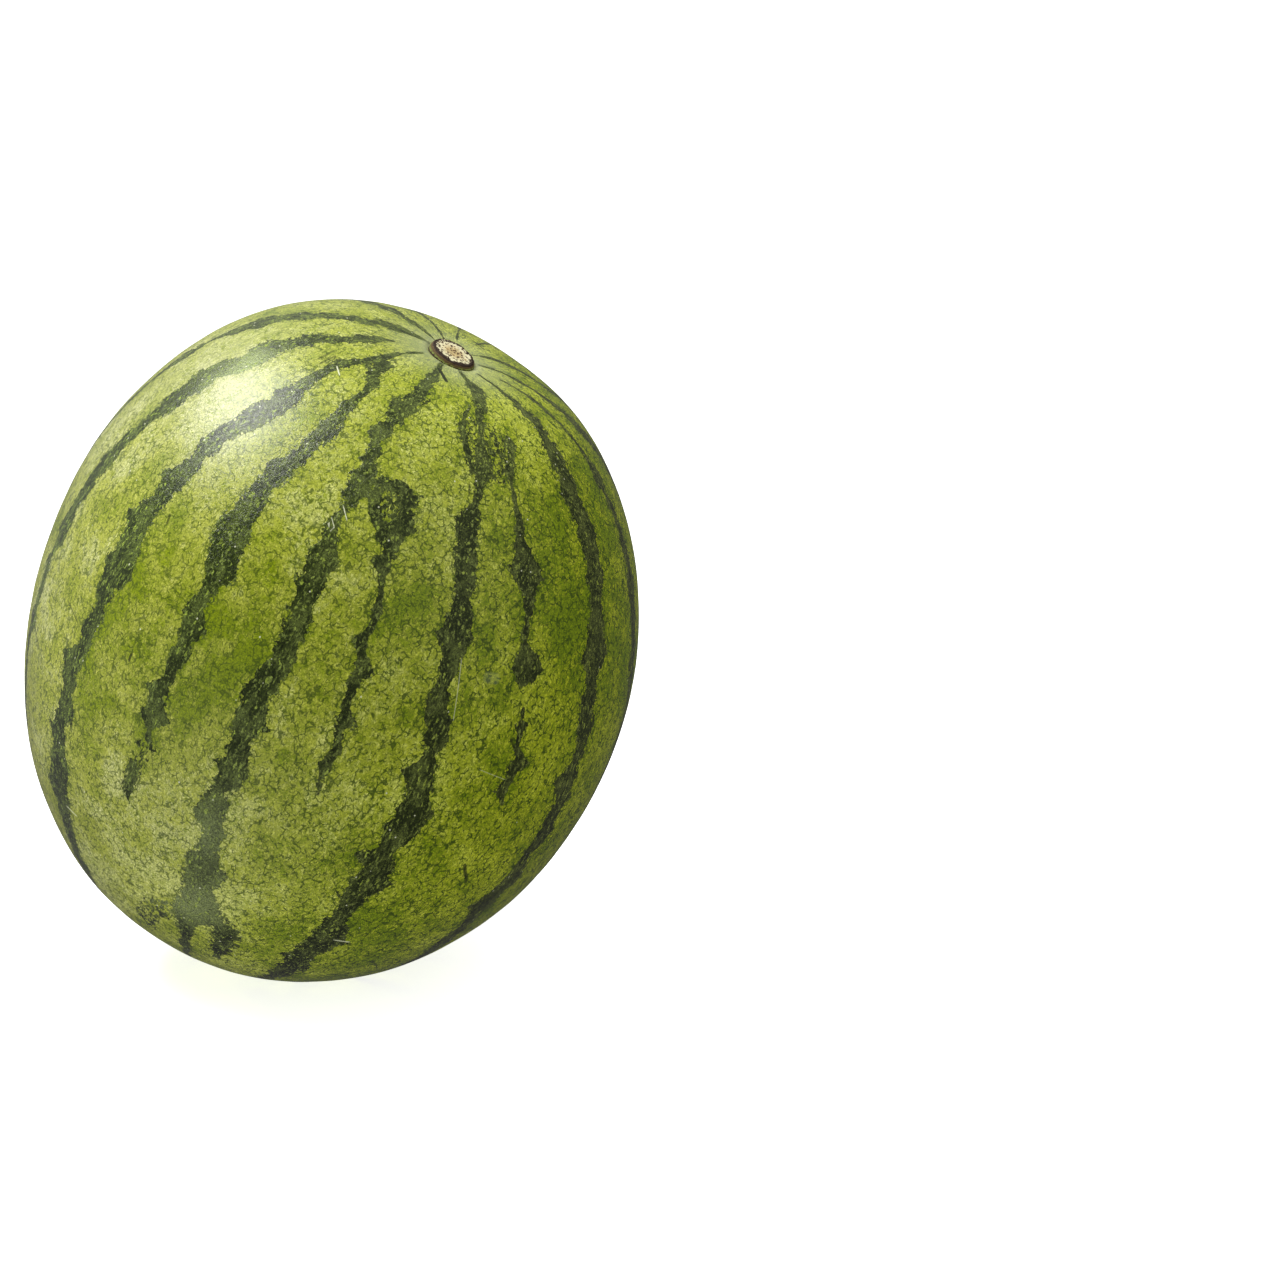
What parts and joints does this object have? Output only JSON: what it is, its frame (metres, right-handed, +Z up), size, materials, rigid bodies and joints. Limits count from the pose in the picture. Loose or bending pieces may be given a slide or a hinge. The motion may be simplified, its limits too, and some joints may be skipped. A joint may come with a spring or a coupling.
{
  "type": "watermelon",
  "caption": "Whole round-oval striped watermelon, leaning, with a corky stem plug near the top and a small flat spot to rest on.",
  "frame": {"origin": "on the surface the fruit rests on, under the centre of its bounding box", "axes": "+Z up from the resting surface, towards the stem end, which leans 24.8 degrees towards +X and a little towards -Y; -Y is the side that shows the stem plug; +Y is the shortest extent"},
  "size_m": [0.233, 0.2292, 0.2585],
  "materials": {
    "rind": "smooth waxy rind, pale yellow-green and mottled, with jagged dark green stripes, semi-gloss",
    "cork": "dry, rough, tan to brown cork on the stem plug and the blossom scar, matt"
  },
  "bodies": {
    "root": {"watermelon": "rind"}
  },
  "joints": []
}
